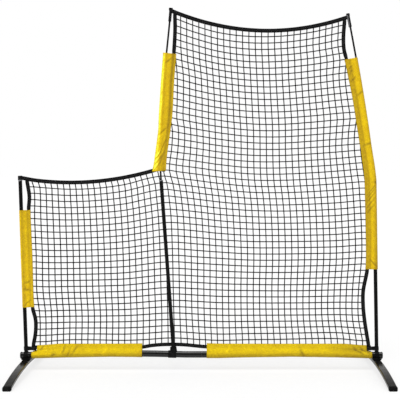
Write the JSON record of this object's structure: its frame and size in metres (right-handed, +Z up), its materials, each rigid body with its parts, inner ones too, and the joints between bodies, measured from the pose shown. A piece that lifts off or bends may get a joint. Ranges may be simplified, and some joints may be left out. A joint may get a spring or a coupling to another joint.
{
  "type": "baseball L screen",
  "caption": "Free-standing L-shaped batting practice screen with a black net, yellow pole sleeves and two arched legs.",
  "frame": {"origin": "on the floor, under the middle of the screen's outline", "axes": "+Z up, +X along the base from the low half to the tall half, -Y towards the side that the picture shows"},
  "size_m": [2.1514, 0.914, 2.1437],
  "materials": {
    "black_steel": "gloss powder coat",
    "black_plastic": "moulded, matte",
    "black_cloth": "woven polyester webbing and net",
    "bright_metal": "zinc plated",
    "yellow_cloth": "woven polyester",
    "rod": "fibreglass, smooth"
  },
  "bodies": {
    "frame": {"base_connector": "bright_metal", "base_end_cap_left": "black_plastic", "base_end_cap_right": "black_plastic", "base_tube_left": "black_steel", "base_tube_right": "black_steel", "corner_strap_left": "black_cloth", "corner_strap_right": "black_cloth", "left_leg_bolt": "bright_metal", "left_leg_nut": "bright_metal", "left_leg_saddle": "black_plastic", "left_leg_washer": "bright_metal", "left_pocket": "black_cloth", "left_spigot": "bright_metal", "left_upright": "black_steel", "left_upright_plug": "bright_metal", "middle_ferrule": "bright_metal", "middle_pocket": "black_cloth", "middle_rod": "rod", "middle_rod_tip": "black_plastic", "middle_upright": "black_steel", "net_low": "black_cloth", "net_tall": "black_cloth", "right_ferrule": "bright_metal", "right_leg_bolt": "bright_metal", "right_leg_nut": "bright_metal", "right_leg_saddle": "black_plastic", "right_leg_washer": "bright_metal", "right_pocket": "black_cloth", "right_rod": "rod", "right_rod_tip": "black_plastic", "right_spigot": "bright_metal", "right_upright": "black_steel", "sleeve_left": "yellow_cloth", "sleeve_low_left": "yellow_cloth", "sleeve_low_right": "yellow_cloth", "sleeve_middle": "yellow_cloth", "sleeve_right": "yellow_cloth", "snap_button_spring": "bright_metal", "tee_fitting": "black_plastic", "webbing_hem": "black_cloth", "webbing_left_side": "black_cloth", "webbing_low_top": "black_cloth", "webbing_middle": "black_cloth", "webbing_right_side": "black_cloth", "webbing_tall_top": "black_cloth"},
    "left_leg_body": {"left_leg": "black_steel", "left_leg_cap_front": "black_plastic", "left_leg_cap_rear": "black_plastic"},
    "right_leg_body": {"right_leg": "black_steel", "right_leg_cap_front": "black_plastic", "right_leg_cap_rear": "black_plastic"},
    "snap_button_body": {"snap_button": "bright_metal"}
  },
  "joints": [
    {"name": "left_leg_swivel", "type": "hinge", "parent": "frame", "child": "left_leg_body", "pos_m": [-1.02612, 0, 0.0669], "axis": [0, 0, 1], "range_deg": [0, 90]},
    {"name": "right_leg_swivel", "type": "hinge", "parent": "frame", "child": "right_leg_body", "pos_m": [1.04188, 0, 0.0669], "axis": [0, 0, 1], "range_deg": [-90, 0]},
    {"name": "snap_button_press", "type": "slide", "parent": "frame", "child": "snap_button_body", "axis": [0, -1, 0], "range_m": [0, 0.0053], "stiffness_N_per_m": 2000, "springref_m": -0.003, "deforming": ["snap_button_spring"]}
  ]
}
